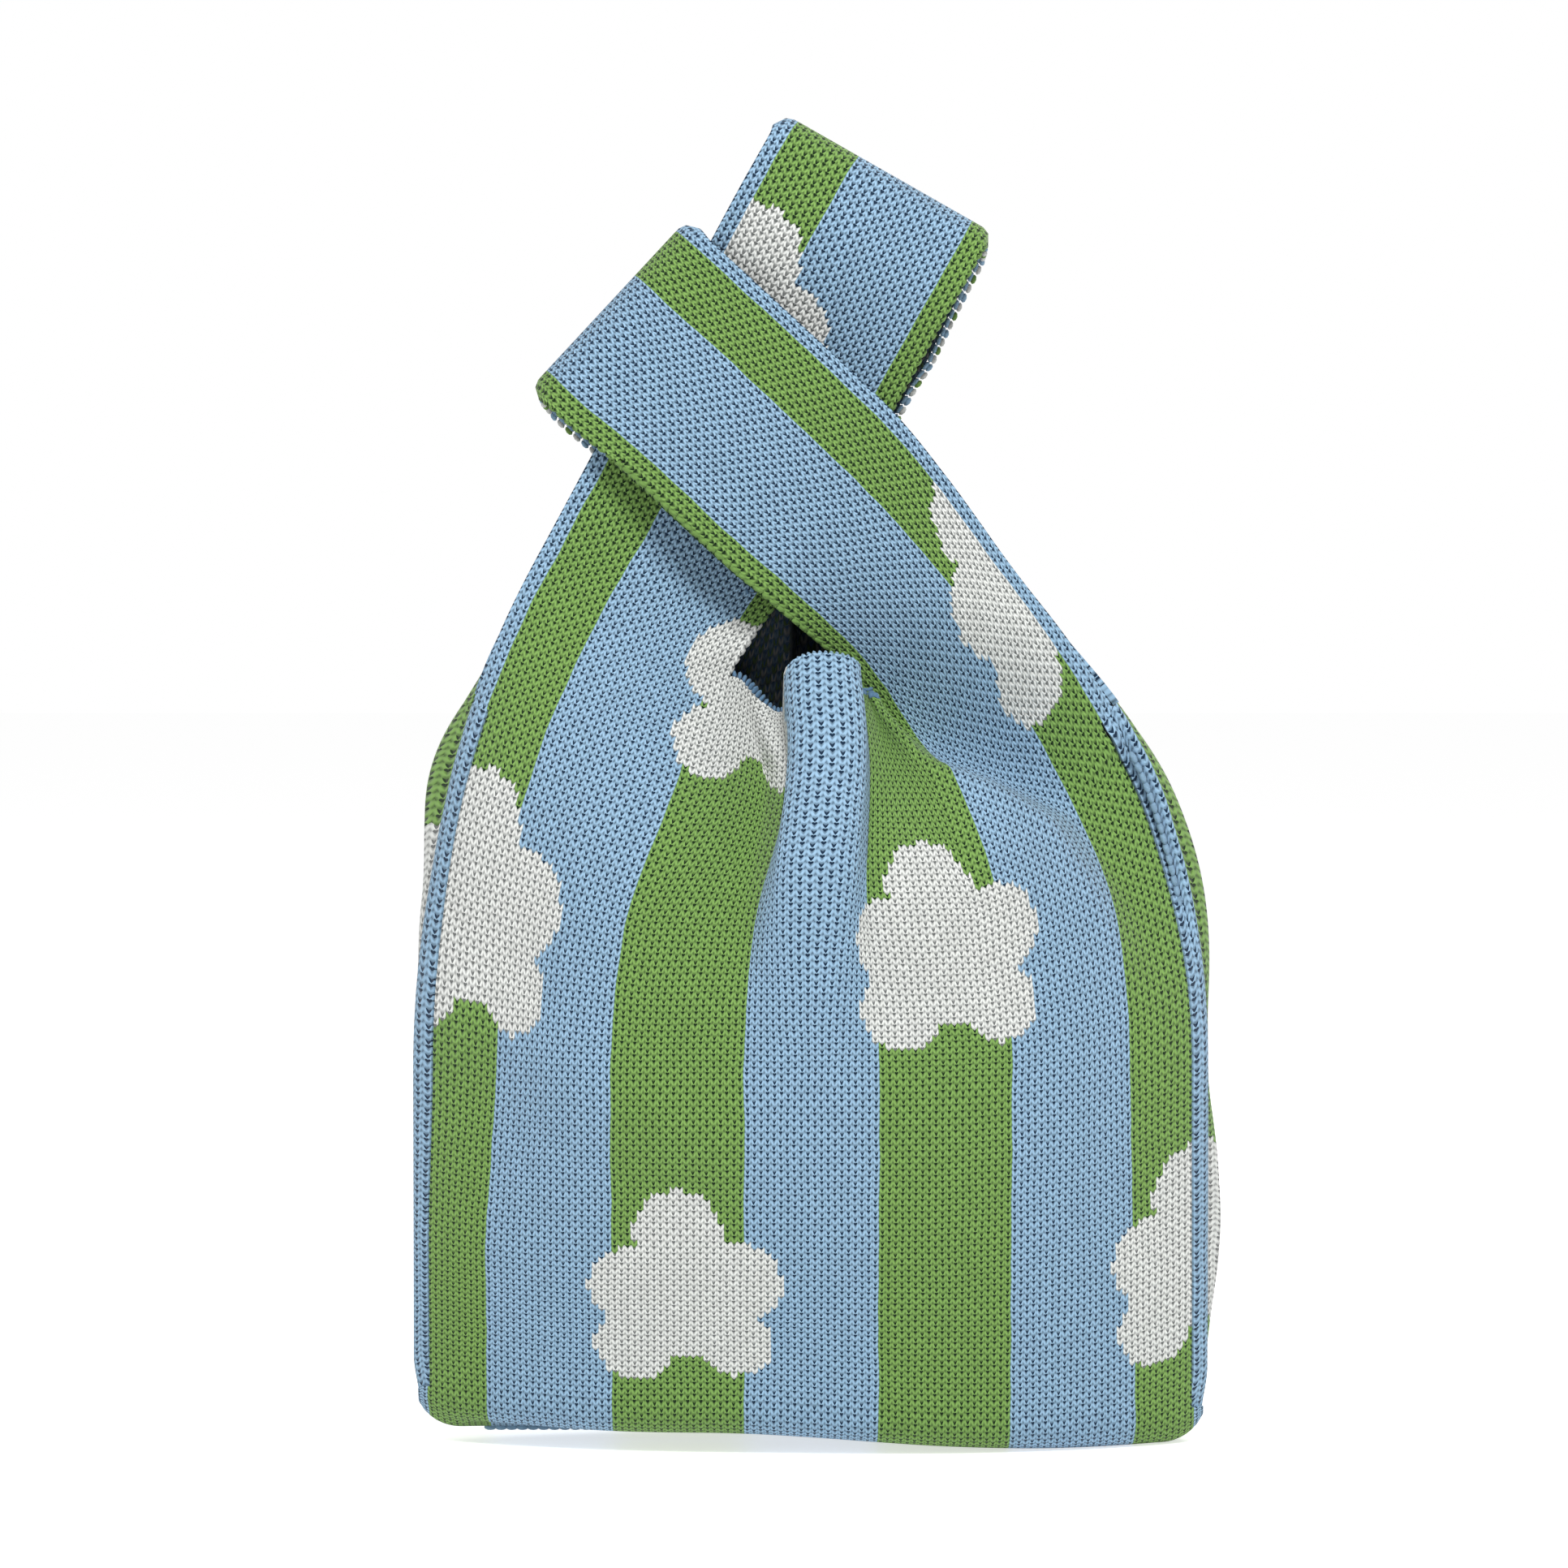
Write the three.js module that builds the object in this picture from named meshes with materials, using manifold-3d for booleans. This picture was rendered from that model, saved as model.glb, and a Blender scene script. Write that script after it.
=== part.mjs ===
// Knit knot bag: a soft standing bag with a long strap that goes through the loop of a short one.
// Millimetres, +Z up, front towards -Y, origin on the floor under the middle of the bag.
// The knit is described flat, by s across (0 in the middle) and t up from the floor, and then bent to shape.

import * as THREE from 'three';
import { mergeVertices } from 'three/addons/utils/BufferGeometryUtils.js';
import Module from 'manifold-3d';

// Cloth
const clothThickness = 2.4;
const seatGap = 0.3;

// Body, flat sizes
const bagWidth = 213;
const sideBandWidth = 4;
const strapWidth = 60;
const baseTurnHeight = 10;
const slitStart = 190;
const mouthHeight = 225;

// Body, shape in depth
const baseHalfDepth = 27;
const bellyHalfDepth = 35;
const bellyHeight = 100;
const neckStart = 150;
const neckEnd = 245;
const baseEdgeRadius = 8.8;
const baseEdgeShare = 0.8;
const baseCornerRadius = 12;
const roundness = 0.6;

// Fold of the slack cloth between the straps
const pleatDepth = 28;
const pleatHalfWidth = 30;
const rimRise = 14;

// Spaces between the layers of the straps
const longStrapSlot = 4.8;
const crossingGap = 4.5;

// Straps: upright run, bend towards the middle, straight run, and how far the bend draws in each edge.
// The short strap's straight run is worked out: its end reaches past the long strap's outer edge.
const longStrap = { side: -1, rise: 100, bendRadius: 250, lean: 29.6, run: 134, pinch: 1 };
const shortStrap = { side: 1, rise: 103, bendRadius: 190, lean: 47, pinch: 6.5 };
const pinchReach = 60;
const loopReach = 15.5;

// Bending lines of the handles
const swingHeight = 248;
const swingLimit = 40;
const carryLoopLength = 26;
const carryLimit = 45;
const carryLoopHalfDepth = 7;
const carryBulgeStart = 6;
const carryBulgeEnd = 16;
const shortFoldLength = 9;

// Trim
const seamRadius = 1;
const rimRadius = 1.6;
const rimEndClearance = 6;
const seamEndInset = 4;
const sideSeamStart = 14;
const sideSeamEnd = 178;
const bottomSeamHalfLength = 88;

const blue = 0x9bc0e2;
const green = 0x86b062;
const mixed = 0xa8c3c0;
const yarn = 0x6f93b8;

const halfWidth = bagWidth / 2;
const strapHalf = strapWidth / 2;
const strapMiddle = halfWidth - strapHalf;
const strapInner = halfWidth - strapWidth;
const panelEdge = halfWidth - sideBandWidth;
const halfCloth = clothThickness / 2;
const longLayer = longStrapSlot / 2 + halfCloth;
const shortLayer = longLayer + clothThickness + crossingGap;

const wasm = await Module();
wasm.setup();

function smooth(low, high, value) {
  return THREE.MathUtils.smoothstep(value, low, high);
}

function bump(place) {
  return 0.5 + 0.5 * Math.cos(Math.PI * Math.min(1, Math.abs(place)));
}

function spaced(from, to, steps) {
  return Array.from({ length: steps + 1 }, (_, i) => from + ((to - from) * i) / steps);
}

// Middle line of a strap in the bag's plane: its point, direction and crosswise direction (towards +X) at t
function strapFrame(strap, t) {
  const lean = THREE.MathUtils.degToRad(strap.lean);
  const angle = THREE.MathUtils.clamp((t - strap.rise) / strap.bendRadius, 0, lean);
  const straight = Math.max(0, t - strap.rise - strap.bendRadius * lean);
  const along = new THREE.Vector3(-strap.side * Math.sin(angle), 0, Math.cos(angle));
  const across = new THREE.Vector3(Math.cos(angle), 0, strap.side * Math.sin(angle));
  const point = new THREE.Vector3(
    strap.side * (strapMiddle - strap.bendRadius * (1 - Math.cos(angle))),
    0,
    Math.min(t, strap.rise) + strap.bendRadius * Math.sin(angle),
  );
  return { point: point.addScaledVector(along, straight), along, across };
}

function strapPoint(strap, s, t) {
  const { point, across } = strapFrame(strap, t);
  const offset = s - strap.side * strapMiddle;
  const pinched = (strap.pinch / strapHalf) * bump((t - mouthHeight) / pinchReach);
  return point.addScaledVector(across, offset * (1 - pinched));
}

function bendEnd(strap) {
  return strap.rise + strap.bendRadius * THREE.MathUtils.degToRad(strap.lean);
}

function runPastLongStrap() {
  const start = strapFrame(shortStrap, bendEnd(shortStrap));
  const edge = strapPoint(longStrap, -halfWidth, bendEnd(longStrap) + longStrap.run);
  const outward = strapFrame(longStrap, bendEnd(longStrap)).across.negate();
  return (loopReach - start.point.sub(edge).dot(outward)) / start.along.dot(outward);
}
shortStrap.run = runPastLongStrap();

function strapEnd(strap) {
  return bendEnd(strap) + strap.run;
}

// Share of the flat width between the straps that is left over at t
function slackAt(t) {
  const gap = strapPoint(shortStrap, strapInner, t).x - strapPoint(longStrap, -strapInner, t).x;
  return 1 - gap / (2 * strapInner);
}

function ridge(s) {
  return bump(s / pleatHalfWidth);
}

// Place of the cloth in the bag's plane
function planPoint(s, t) {
  if (s <= -strapInner) return strapPoint(longStrap, s, t);
  if (s >= strapInner) return strapPoint(shortStrap, s, t);
  const left = strapPoint(longStrap, -strapInner, t);
  const right = strapPoint(shortStrap, strapInner, t);
  const point = left.lerp(right, (s + strapInner) / (2 * strapInner));
  point.z += rimRise * slackAt(t) * ridge(s);
  return point;
}

function bellyAt(t) {
  return baseHalfDepth + (bellyHalfDepth - baseHalfDepth) * smooth(baseTurnHeight, bellyHeight, t);
}

function layerAt(s) {
  return longLayer + (shortLayer - longLayer) * smooth(-strapInner, strapInner, s);
}

// Half depth of the bag: round below, closing to the layers of the straps above
function depthAt(s, t) {
  const neck = smooth(neckStart, neckEnd, t);
  const section = Math.max(0, 1 - (s / halfWidth) ** 2) ** roundness;
  return (1 - neck) * bellyAt(t) * section + neck * layerAt(s) + pleatDepth * slackAt(t) * ridge(s);
}

function facePoint(face) {
  return (s, t) => planPoint(s, t).setY(face * depthAt(s, t));
}

// Closed sheet of cloth on a grid of points in its middle plane
function clothSheet(columns, rows, pointAt, keeps = () => true) {
  const step = 1e-3;
  const positions = [];
  for (const t of rows) {
    for (const s of columns) {
      const point = pointAt(s, t);
      const acrossCloth = pointAt(s + step, t).sub(pointAt(s - step, t));
      const upCloth = pointAt(s, t + step).sub(pointAt(s, t - step));
      const normal = acrossCloth.cross(upCloth).normalize().multiplyScalar(halfCloth);
      const outside = point.clone().add(normal);
      const inside = point.clone().sub(normal);
      positions.push(...outside.toArray(), ...inside.toArray());
    }
  }
  const outer = (i, j) => 2 * (j * columns.length + i);
  const inner = (i, j) => outer(i, j) + 1;
  const isKept = (i, j) => {
    if (i < 0 || j < 0 || i >= columns.length - 1 || j >= rows.length - 1) return false;
    return keeps((columns[i] + columns[i + 1]) / 2, (rows[j] + rows[j + 1]) / 2);
  };
  const triangles = [];
  const wall = (a, b) => {
    triangles.push(outer(...b), outer(...a), inner(...a), outer(...b), inner(...a), inner(...b));
  };
  for (let j = 0; j < rows.length - 1; j += 1) {
    for (let i = 0; i < columns.length - 1; i += 1) {
      if (!isKept(i, j)) continue;
      const corners = [[i, j], [i + 1, j], [i + 1, j + 1], [i, j + 1]];
      const [a, b, c, d] = corners.map((corner) => outer(...corner));
      triangles.push(a, b, c, a, c, d);
      triangles.push(a + 1, c + 1, b + 1, a + 1, d + 1, c + 1);
      if (!isKept(i, j - 1)) wall(corners[0], corners[1]);
      if (!isKept(i + 1, j)) wall(corners[1], corners[2]);
      if (!isKept(i, j + 1)) wall(corners[2], corners[3]);
      if (!isKept(i - 1, j)) wall(corners[3], corners[0]);
    }
  }
  const geometry = new THREE.BufferGeometry();
  geometry.setAttribute('position', new THREE.Float32BufferAttribute(positions, 3));
  geometry.setIndex(triangles);
  return geometry;
}

// Round cord along points
function cordAlong(points, radius) {
  const section = new THREE.Shape();
  section.absarc(0, 0, radius, 0, 2 * Math.PI);
  const path = new THREE.CatmullRomCurve3(points);
  return new THREE.ExtrudeGeometry(section, { steps: 2 * points.length, curveSegments: 4, extrudePath: path });
}

function toSolid(geometry) {
  const bare = geometry.clone();
  bare.deleteAttribute('normal');
  bare.deleteAttribute('uv');
  const merged = mergeVertices(bare, 1e-4);
  return new wasm.Manifold(new wasm.Mesh({
    numProp: 3,
    vertProperties: new Float32Array(merged.attributes.position.array),
    triVerts: new Uint32Array(merged.index.array),
  }));
}

function toGeometry(solid) {
  const mesh = solid.getMesh();
  const geometry = new THREE.BufferGeometry();
  geometry.setAttribute('position', new THREE.BufferAttribute(mesh.vertProperties, 3));
  geometry.setIndex(new THREE.BufferAttribute(mesh.triVerts, 1));
  return geometry;
}

// Everything above a bending line, with a round underside about that line
function bendTool(radius, origin, up) {
  const reach = bagWidth;
  const profile = new THREE.Shape();
  profile.moveTo(-reach, 0);
  profile.lineTo(-radius, 0);
  profile.absarc(0, 0, radius, Math.PI, 2 * Math.PI, false);
  profile.lineTo(reach, 0);
  profile.lineTo(reach, reach);
  profile.lineTo(-reach, reach);
  const geometry = new THREE.ExtrudeGeometry(profile, { depth: 2 * reach, bevelEnabled: false });
  geometry.translate(0, 0, -reach);
  const forward = new THREE.Vector3(0, 1, 0);
  const sideways = new THREE.Vector3().crossVectors(forward, up);
  geometry.applyMatrix4(new THREE.Matrix4().makeBasis(forward, up, sideways).setPosition(origin));
  return toSolid(geometry);
}

// Bending lines: each radius leaves the outer layer free to turn to its limit
function bendRadius(outerFace, limit) {
  return outerFace / Math.cos(THREE.MathUtils.degToRad(limit)) + seatGap;
}
const swingRadius = bendRadius(shortLayer + halfCloth, swingLimit);
const swingOrigin = new THREE.Vector3(0, 0, swingHeight);
const swingUp = new THREE.Vector3(0, 0, 1);
const aboveSwing = bendTool(swingRadius, swingOrigin, swingUp);
const aboveSwingFree = bendTool(swingRadius + seatGap, swingOrigin, swingUp);

const carryLine = strapEnd(longStrap) - carryLoopLength;
const carryFrame = strapFrame(longStrap, carryLine);
const carryRadius = bendRadius(longLayer + halfCloth, carryLimit);
const aboveCarry = bendTool(carryRadius, carryFrame.point, carryFrame.along);
const aboveCarryFree = bendTool(carryRadius + seatGap, carryFrame.point, carryFrame.along);

const bag = new THREE.Group();
bag.name = 'knot_bag';

function addPiece(name, geometry, color, roughness = 0.95) {
  const material = new THREE.MeshStandardMaterial({ color, roughness, metalness: 0 });
  const mesh = new THREE.Mesh(geometry, material);
  mesh.name = name;
  bag.add(mesh);
}

// Front and back panels, each knit in one with the lower ends of both straps
function flatHeightAbove(strap, height) {
  const lean = THREE.MathUtils.degToRad(strap.lean);
  const bendEndHeight = strapFrame(strap, bendEnd(strap)).point.z;
  return bendEnd(strap) + (height + strapHalf * Math.sin(lean) - bendEndHeight) / Math.cos(lean);
}
const rootEnd = Math.max(...[longStrap, shortStrap].map((strap) => flatHeightAbove(strap, swingHeight)));
const panelColumns = [
  -halfWidth,
  ...spaced(-panelEdge, -strapInner, 6),
  ...spaced(-strapInner, strapInner, 22).slice(1, -1),
  ...spaced(strapInner, panelEdge, 6),
  halfWidth,
];
const panelRows = [
  ...spaced(baseTurnHeight + seatGap, slitStart, 12),
  ...spaced(slitStart, mouthHeight, 4).slice(1),
  ...spaced(mouthHeight, rootEnd, 6).slice(1),
];
function panelKeeps(s, t) {
  const onStrap = Math.abs(s) > strapInner;
  const onEdge = Math.abs(s) > panelEdge;
  return (t < mouthHeight || onStrap) && (t > slitStart || !onEdge);
}
for (const [name, face] of [['front_panel', -1], ['back_panel', 1]]) {
  const sheet = clothSheet(panelColumns, panelRows, facePoint(face), panelKeeps);
  addPiece(name, toGeometry(toSolid(sheet).subtract(aboveSwingFree)), green);
}

// Base: the cloth turned from the front to the back, flat underneath, with rounded ends
function baseFloor(s) {
  const past = Math.max(0, Math.abs(s) - (halfWidth - baseCornerRadius));
  return halfCloth + baseCornerRadius - Math.sqrt(baseCornerRadius ** 2 - past ** 2);
}
function basePoint(s, turn) {
  const face = Math.sign(turn);
  const edge = depthAt(s, baseTurnHeight);
  const inset = Math.min(baseEdgeRadius, baseEdgeShare * edge);
  const angle = Math.max(0, Math.abs(turn) - 1) * (Math.PI / 2);
  const flat = Math.min(1, Math.abs(turn)) * (edge - inset);
  const floor = baseFloor(s);
  const height = floor + (baseTurnHeight - floor) * (1 - Math.cos(angle));
  return planPoint(s, height).setY(face * (flat + inset * Math.sin(angle)));
}
const baseEnd = halfWidth - clothThickness / 2 - seatGap;
const baseColumns = [
  ...spaced(-baseEnd, baseCornerRadius - halfWidth, 4),
  ...spaced(baseCornerRadius - halfWidth, halfWidth - baseCornerRadius, 12).slice(1, -1),
  ...spaced(halfWidth - baseCornerRadius, baseEnd, 4),
];
const baseRows = [...spaced(-2, -1, 4), 0, ...spaced(1, 2, 4)];
addPiece('base_panel', clothSheet(baseColumns, baseRows, basePoint), green);

// Side bands: the edge wales that join the front to the back, up to the slit
const bandAngle = Math.acos((panelEdge + seatGap) / halfWidth);
function bandPoint(side) {
  return (turn, t) => {
    const angle = turn * bandAngle;
    const s = side * halfWidth * Math.cos(angle);
    const neck = smooth(neckStart, neckEnd, t);
    const round = (1 - neck) * bellyAt(t) * Math.abs(Math.sin(angle)) ** (2 * roundness);
    const layer = neck * layerAt(s) * Math.sin((Math.PI / 2) * Math.min(1, Math.abs(turn)));
    return planPoint(s, t).setY(Math.sign(turn) * (round + layer));
  };
}
for (const [name, side] of [['left_side_band', -1], ['right_side_band', 1]]) {
  const rows = spaced(baseTurnHeight + seatGap, slitStart - seatGap, 12);
  addPiece(name, clothSheet(spaced(-1, 1, 8), rows, bandPoint(side)), blue);
}

// Seams on the inside: one along each side band, one across the base
const seamInset = halfCloth + seatGap + seamRadius;
for (const [name, side] of [['left_side_seam', -1], ['right_side_seam', 1]]) {
  const heights = spaced(sideSeamStart, sideSeamEnd, 10);
  const points = heights.map((t) => planPoint(side * (halfWidth - seamInset), t));
  addPiece(name, cordAlong(points, seamRadius), yarn);
}
const bottomSeamHeight = clothThickness + seatGap + seamRadius;
const bottomSeamLine = [-bottomSeamHalfLength, 0, bottomSeamHalfLength].map(
  (x) => new THREE.Vector3(x, 0, bottomSeamHeight),
);
addPiece('bottom_seam', cordAlong(bottomSeamLine, seamRadius), yarn);

// Rolled edges of the mouth
function rimColumns(face) {
  const edges = [-strapInner, strapInner].map((s) => facePoint(face)(s, mouthHeight));
  const isClear = (s) => edges.every((edge) => facePoint(face)(s, mouthHeight).distanceTo(edge) > rimEndClearance);
  return panelColumns.filter((s) => Math.abs(s) < strapInner && isClear(s));
}
function rimPoint(face, s) {
  const edge = facePoint(face)(s, mouthHeight);
  const below = facePoint(face)(s, mouthHeight - rimRadius);
  const up = edge.clone().sub(below).normalize();
  return edge.addScaledVector(up, rimRadius + 3 * seatGap);
}
for (const [name, face] of [['mouth_edge_front', -1], ['mouth_edge_back', 1]]) {
  addPiece(name, cordAlong(rimColumns(face).map((s) => rimPoint(face, s)), rimRadius), blue);
}

// Long strap: two flat layers between the swing line and the carry loop
const longColumns = spaced(-halfWidth, -strapInner, 6);
const longRows = [...spaced(slitStart, neckEnd, 6), ...spaced(neckEnd, carryLine + strapHalf, 10).slice(1)];
for (const [name, face] of [['long_strap_front', -1], ['long_strap_back', 1]]) {
  const sheet = clothSheet(longColumns, longRows, facePoint(face));
  addPiece(name, toGeometry(toSolid(sheet).intersect(aboveSwing).subtract(aboveCarryFree)), blue);
}

// A strap's folded end: up the front layer, round the fold and down the back layer.
// Each station is a share of the layer's depth and a place t along the strap.
function foldPath(layerPlaces, end, foldLength) {
  const front = layerPlaces.map((t) => [-1, t]);
  const turn = spaced(-1, 1, 8).map((share) => {
    const angle = (share * Math.PI) / 2;
    return [Math.sin(angle), end - foldLength + foldLength * Math.cos(angle)];
  });
  const back = layerPlaces.map((t) => [1, t]).reverse();
  return [...front, ...turn, ...back];
}

function foldedEnd(columns, strap, path, depthOf) {
  const pointAt = (s, station) => {
    const at = THREE.MathUtils.clamp(station, 0, path.length - 1);
    const low = Math.min(Math.floor(at), path.length - 2);
    const [share, t] = path[low].map((value, k) => THREE.MathUtils.lerp(value, path[low + 1][k], at - low));
    return strapPoint(strap, s, t).setY(share * depthOf(s, t));
  };
  return clothSheet(columns, path.map((_, station) => station), pointAt);
}

function foldSeam(strap) {
  const at = strapEnd(strap) - seamInset;
  const reach = strapHalf - seamEndInset;
  const places = [-reach, 0, reach].map((offset) => strap.side * strapMiddle + offset);
  return cordAlong(places.map((s) => strapPoint(strap, s, at)), seamRadius);
}

// Carry loop: the top of the long strap, rounded out for the fingers
function carryDepthAt(s, t) {
  const rounded = smooth(carryLine + carryBulgeStart, carryLine + carryBulgeEnd, t);
  return THREE.MathUtils.lerp(longLayer, carryLoopHalfDepth, rounded);
}
const carryFold = strapEnd(longStrap) - carryLoopHalfDepth;
const carryPlaces = [carryLine - strapHalf, ...spaced(carryLine + carryBulgeStart, carryFold, 5).slice(0, -1)];
const carryPath = foldPath(carryPlaces, strapEnd(longStrap), carryLoopHalfDepth);
const carrySheet = foldedEnd(spaced(-halfWidth, -strapInner, 2), longStrap, carryPath, carryDepthAt);
addPiece('carry_loop', toGeometry(toSolid(carrySheet).intersect(aboveCarry)), blue);
addPiece('carry_loop_seam', foldSeam(longStrap), yarn);

// Short loop: it goes round the long strap
const shortPath = foldPath(spaced(slitStart, neckEnd, 6), strapEnd(shortStrap), shortFoldLength);
const shortSheet = foldedEnd(spaced(strapInner, halfWidth, 6), shortStrap, shortPath, depthAt);
addPiece('short_loop', toGeometry(toSolid(shortSheet).intersect(aboveSwing)), mixed);
addPiece('short_loop_seam', foldSeam(shortStrap), yarn);

export default bag;
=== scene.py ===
import math

import bmesh
import bpy
import numpy as np
from mathutils import Matrix, Vector


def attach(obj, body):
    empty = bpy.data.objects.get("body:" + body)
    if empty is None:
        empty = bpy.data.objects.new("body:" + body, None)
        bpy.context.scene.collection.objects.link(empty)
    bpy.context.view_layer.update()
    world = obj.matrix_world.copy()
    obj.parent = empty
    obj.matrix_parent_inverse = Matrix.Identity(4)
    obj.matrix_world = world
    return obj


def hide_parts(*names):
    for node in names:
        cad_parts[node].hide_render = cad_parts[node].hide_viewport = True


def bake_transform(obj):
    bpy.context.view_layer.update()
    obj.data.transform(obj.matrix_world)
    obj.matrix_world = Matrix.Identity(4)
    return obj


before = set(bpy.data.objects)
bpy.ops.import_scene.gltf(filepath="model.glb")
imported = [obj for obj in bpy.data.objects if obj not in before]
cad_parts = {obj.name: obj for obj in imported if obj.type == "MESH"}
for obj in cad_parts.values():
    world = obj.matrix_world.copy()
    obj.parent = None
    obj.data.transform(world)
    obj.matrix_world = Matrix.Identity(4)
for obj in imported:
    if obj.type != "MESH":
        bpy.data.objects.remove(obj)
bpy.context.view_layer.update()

# Front panel with the long strap's front layer
# Fine two-bed jacquard knit: upright blue and green stripes with white clouds and a mixed reverse.
# It is knit in one with the lower ends of both straps, and its slack between them stands out as a pleat.
HALF_WIDTH = 0.1065
BAND = 0.004
STRAP_WIDTH = 0.060
BASE_TURN = 0.010
SLIT = 0.190
MOUTH = 0.225
CLOTH = 0.0019
GRID = 0.0015
BASE_HALF_DEPTH = 0.027
BELLY_HALF_DEPTH = 0.035
BELLY_HEIGHT = 0.100
NECK = (0.158, 0.238)
ROUNDNESS = 0.6
LONG_LAYER = 0.0024
SHORT_LAYER = 0.0085
CARRY_LAYER = 0.0105
CARRY_RISE = (0.314, 0.345)
STRAP_MIDDLE = HALF_WIDTH - STRAP_WIDTH / 2
STRAP_INNER = HALF_WIDTH - STRAP_WIDTH
PANEL_EDGE = HALF_WIDTH - BAND
PINCH_REACH = 0.060
FLARE = (0.140, 0.240)
LONG_CUT = 0.325
SHORT_CUT = 0.2645


class Strap:
    """A strap's way in the bag's plane: up, round a bend towards the middle, then straight to its end.
    The pinch narrows it at the mouth, and the flare widens its outer half above."""

    def __init__(self, side, rise, radius, lean, end, pinch, flare):
        self.side = side
        self.rise = rise
        self.radius = radius
        self.lean = math.radians(lean)
        self.end = end
        self.pinch = pinch
        self.flare = flare

    def line(self, t):
        """Middle line at t, with the direction along it and the direction across it, as x and z."""
        angle = np.clip((t - self.rise) / self.radius, 0, self.lean)
        straight = np.maximum(0, t - self.rise - self.radius * self.lean)
        along = np.stack([-self.side * np.sin(angle), np.cos(angle)], -1)
        across = np.stack([np.cos(angle), self.side * np.sin(angle)], -1)
        x = self.side * (STRAP_MIDDLE - self.radius * (1 - np.cos(angle)))
        z = np.minimum(t, self.rise) + self.radius * np.sin(angle)
        return np.stack([x, z], -1) + along * straight[..., None], along, across

    def place(self, s, t):
        """Place of the cloth at s, t, as x and z."""
        point, _, across = self.line(t)
        offset = s - self.side * STRAP_MIDDLE
        widened = self.flare * smooth(*FLARE, t) * (offset * self.side > 0)
        share = 1 + 2 / STRAP_WIDTH * (widened - self.pinch * bump((t - MOUTH) / PINCH_REACH))
        return point + across * (offset * share)[..., None]


long_strap = Strap(side=-1, rise=0.100, radius=0.250, lean=29.6, end=0.3632, pinch=0.001, flare=0.0045)
short_strap = Strap(side=1, rise=0.103, radius=0.190, lean=47.0, end=0.3538, pinch=0.0065, flare=0.0)


def smooth(low, high, value):
    """0 up to low, 1 from high on, and a soft rise between them."""
    share = np.clip((value - low) / (high - low), 0, 1)
    return share * share * (3 - 2 * share)


def bump(place):
    """1 at 0, falling softly to 0 at -1 and 1."""
    return 0.5 + 0.5 * np.cos(np.pi * np.minimum(1, np.abs(place)))


def risen(value, least, more):
    """The least, with more added to it as the value goes from 0 to 1."""
    return least + more * value


# Pleat: the middle stripe takes the first of the slack, the cloth beside it the rest.
# A valley is its middle and its reach in s, and how far it goes back and down
NOSE_HALF = 0.018
NOSE_TAKE = 0.018
NOSE_SOON = 0.020
NOSE_FRONT = 0.52
NOSE_ARCH = 0.0045
NOSE_FLANK = 0.0085
NOSE_RISE = 0.009
LEFT_VALLEY = (-0.022, 0.022, 0.006, 0.012)
RIGHT_VALLEY = (0.029, 0.020, 0.016, 0.003)
FULL_SLACK = 0.053
LEFT_FILLS = 0.35
LEFT_REST = (0.2, 0.21)


def pleat(s, t, face):
    """Cloth between the straps at s, t: x and z in the bag's plane, and what the fold adds to the depth.
    The front alone sinks in at the valleys; the back is held up behind it."""
    left = long_strap.place(np.full_like(s, -STRAP_INNER), t)
    right = short_strap.place(np.full_like(s, STRAP_INNER), t)
    slack = np.maximum(0, 2 * STRAP_INNER - (right - left)[..., 0])
    taken = NOSE_TAKE * (1 - np.exp(-slack / NOSE_SOON))
    rest = slack - taken
    full = slack / FULL_SLACK
    left_rest = rest * risen(smooth(LEFT_FILLS, 1, full), *LEFT_REST)
    side_width = STRAP_INNER - NOSE_HALF
    left_share = (side_width - left_rest) / side_width
    right_share = (side_width - rest + left_rest) / side_width
    nose_width = 2 * NOSE_HALF - taken
    nose_x = left[..., 0] + side_width * left_share + nose_width / 2
    fold = taken / NOSE_TAKE
    along = np.clip(s / NOSE_HALF, -1, 1)
    turn = np.pi / 2 * np.clip(along / NOSE_FRONT, -1, 1)
    turned = np.sin(turn)
    flank = np.minimum(1, (1 - np.abs(along)) / (1 - NOSE_FRONT))
    in_nose = nose_x + nose_width / 2 * (along + fold * (turned - along))
    past_left = np.minimum(0, s + NOSE_HALF) * left_share
    past_right = np.maximum(0, s - NOSE_HALF) * right_share
    x = in_nose + past_left + past_right
    share = np.clip((s + STRAP_INNER) / (2 * STRAP_INNER), 0, 1)
    z = left[..., 1] + (right - left)[..., 1] * share
    crest = np.cos(np.pi / 2 * along) ** (2 - fold)
    depth = fold * (NOSE_ARCH * np.cos(turn) + NOSE_FLANK * flank)
    z = z + NOSE_RISE * full * crest
    spare = rest / FULL_SLACK
    for middle, reach, back, drop in (LEFT_VALLEY, RIGHT_VALLEY):
        dip = bump((s - middle) / reach) * spare * (face < 0)
        depth = depth - back * dip
        z = z - drop * dip
    return x, z, depth


def belly(t):
    """Half depth in the middle of the bag, below the neck."""
    return BASE_HALF_DEPTH + (BELLY_HALF_DEPTH - BASE_HALF_DEPTH) * smooth(BASE_TURN, BELLY_HEIGHT, t)


def layer(s, t):
    """Half the distance between the front and the back layer of the straps."""
    long_layer = LONG_LAYER + (CARRY_LAYER - LONG_LAYER) * smooth(*CARRY_RISE, t)
    return long_layer + (SHORT_LAYER - long_layer) * smooth(-STRAP_INNER, STRAP_INNER, s)


def half_depth(s, t):
    """How far the knit lies from the bag's plane: a rounded belly, drawn in to the straps' layers above."""
    neck = smooth(*NECK, t)
    section = np.maximum(0, 1 - (s / HALF_WIDTH) ** 2) ** ROUNDNESS
    return (1 - neck) * belly(t) * section + neck * layer(s, t)


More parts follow.
